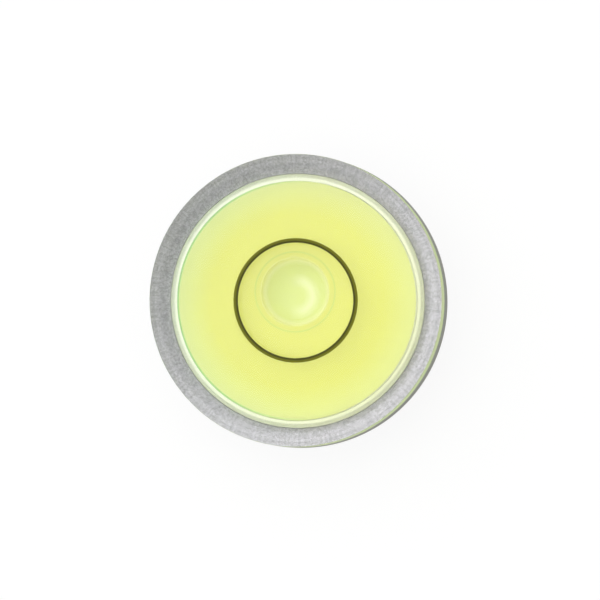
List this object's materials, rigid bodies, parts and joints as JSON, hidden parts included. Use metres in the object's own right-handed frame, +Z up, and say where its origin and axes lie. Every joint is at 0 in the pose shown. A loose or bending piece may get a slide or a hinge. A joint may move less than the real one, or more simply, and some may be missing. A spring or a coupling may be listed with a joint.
{
  "type": "bullseye level",
  "caption": "Round bullseye level: a clear lens cap with a black sighting ring over yellow-green spirit and a bubble, seated in a turned aluminium ring.",
  "frame": {"origin": "centre of the level's underside", "axes": "+Z up through the lens; +X to the picture's right and +Y to its top"},
  "size_m": [0.032, 0.032, 0.011],
  "materials": {
    "turned_aluminium": "satin, fine blasted grain",
    "white_abs": "moulded, matte",
    "dyed_spirit": "clear liquid with a yellow-green fluorescent dye",
    "clear_acrylic": "polished",
    "black_paint": "thin matte paint in a groove"
  },
  "bodies": {
    "root": {"housing_ring": "turned_aluminium", "vial_cup": "white_abs", "fill_plug": "white_abs", "spirit": "dyed_spirit", "lens_cap": "clear_acrylic", "sighting_ring": "black_paint"}
  },
  "joints": []
}
